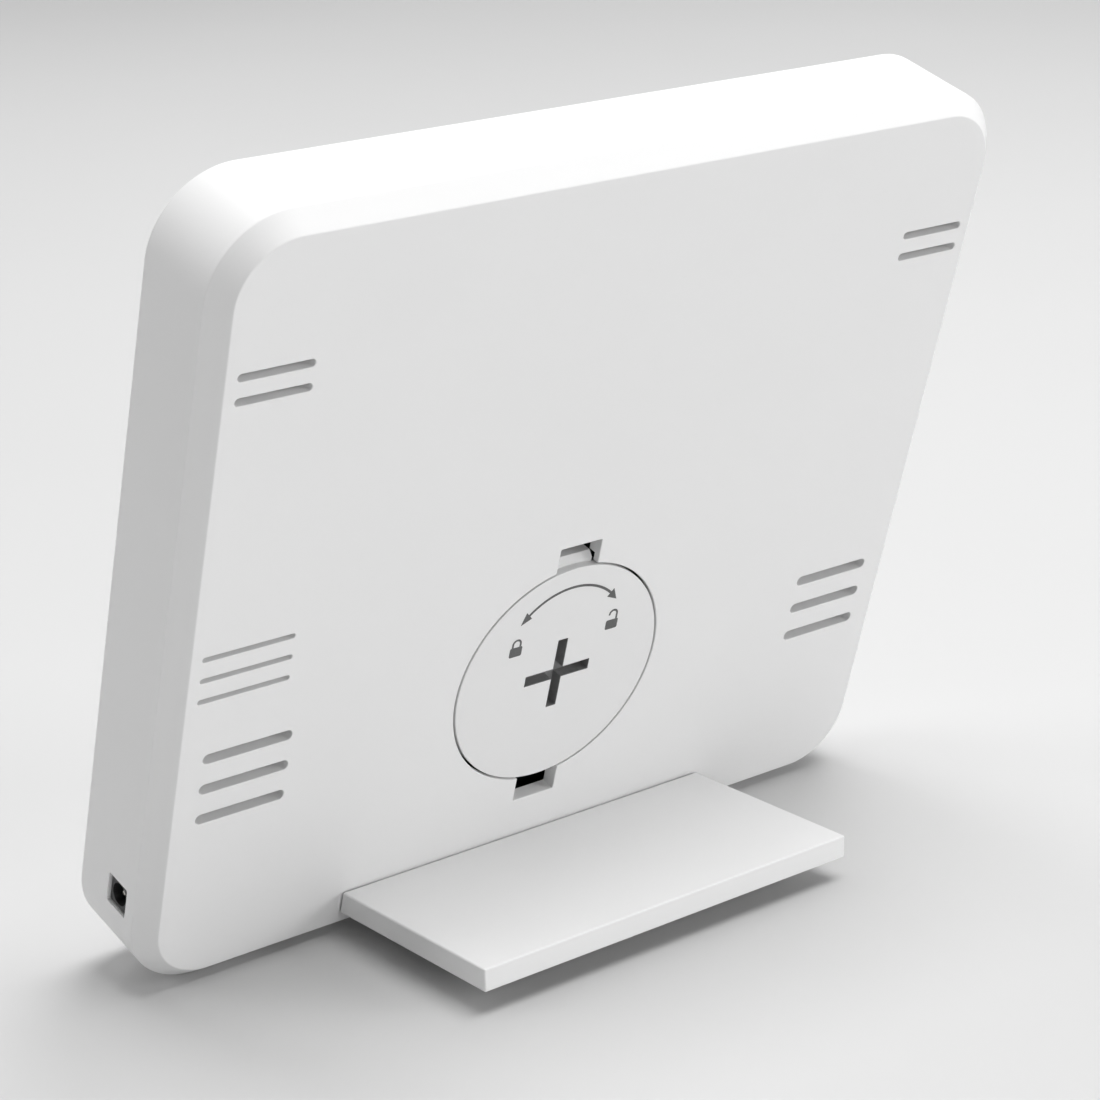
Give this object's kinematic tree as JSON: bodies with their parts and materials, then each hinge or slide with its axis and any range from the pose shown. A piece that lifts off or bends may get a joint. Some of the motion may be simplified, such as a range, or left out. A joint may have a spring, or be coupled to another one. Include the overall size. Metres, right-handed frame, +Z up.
{
  "type": "digital photo frame",
  "caption": "Desktop digital photo frame: white leaning case with screen in front, vents, side power inlet and round twist-lock battery cover behind, on a plate foot.",
  "frame": {"origin": "on the surface it stands on, under the middle of the whole object's box", "axes": "+Z up; the screen faces -Y and the foot reaches out towards +Y; +X is on the right of someone looking at the screen, the side with the power inlet"},
  "size_m": [0.14, 0.0538, 0.1231],
  "materials": {
    "case_plastic": "fine moulded texture, white",
    "cover_plastic": "fine moulded texture, slightly darker white",
    "window_sheet": "clear, black printed border",
    "black_foam": "matt foam",
    "module_steel": "pressed sheet",
    "lcd_glass": "dark polarised glass",
    "diffuser_film": "satin film",
    "clear_acrylic": "polished",
    "led_board": "white strip",
    "board_mask": "black solder mask",
    "chip_epoxy": "moulded epoxy",
    "ferrite": "sintered",
    "plated_can": "plain",
    "connector_nylon": "moulded",
    "black_nylon": "moulded",
    "nickel_plate": "nickel plated",
    "cell_steel": "nickel-plated can",
    "speaker_paper": "coated cone",
    "lead_vinyl": "soft insulation",
    "polyimide_film": "film",
    "pad_rubber": "matt",
    "zinc_steel": "zinc plated"
  },
  "bodies": {
    "case": {"rear_housing": "case_plastic", "front_bezel": "case_plastic", "stand_foot": "case_plastic", "screen_window": "window_sheet", "window_gasket": "black_foam", "lcd_frame": "module_steel", "lcd_back_plate": "module_steel", "lcd_glass": "lcd_glass", "diffuser_sheet": "diffuser_film", "light_guide": "clear_acrylic", "led_strip": "led_board", "display_flex": "polyimide_film", "flex_connector": "connector_nylon", "main_board": "board_mask", "processor": "chip_epoxy", "memory_chip": "chip_epoxy", "flash_chip": "chip_epoxy", "power_coil": "ferrite", "crystal": "plated_can", "capacitor_1": "plated_can", "capacitor_2": "plated_can", "speaker_connector_left": "connector_nylon", "speaker_connector_right": "connector_nylon", "power_jack": "black_nylon", "jack_pin": "nickel_plate", "battery_holder": "black_nylon", "coin_cell": "cell_steel", "cell_spring": "nickel_plate", "cell_clip": "nickel_plate", "speaker_frame_left": "black_nylon", "speaker_frame_right": "black_nylon", "speaker_cone_left": "speaker_paper", "speaker_cone_right": "speaker_paper", "speaker_lead_left": "lead_vinyl", "speaker_lead_right": "lead_vinyl", "foot_pad_left": "pad_rubber", "foot_pad_right": "pad_rubber", "foot_screw_left": "zinc_steel", "foot_screw_right": "zinc_steel", "board_screw_1": "zinc_steel", "board_screw_2": "zinc_steel", "board_screw_3": "zinc_steel", "board_screw_4": "zinc_steel"},
    "cell_pad": {"cell_pad": "black_foam"},
    "cover": {"battery_cover": "cover_plastic"}
  },
  "joints": [
    {"name": "cover_lift", "type": "slide", "parent": "case", "child": "cell_pad", "axis": [0, 0.9542, -0.299], "range_m": [0, 0.02]},
    {"name": "cover_turn", "type": "hinge", "parent": "cell_pad", "child": "cover", "pos_m": [0, 0.00079, 0.03571], "axis": [0, 0.9542, -0.299], "range_deg": [0, 45]}
  ]
}
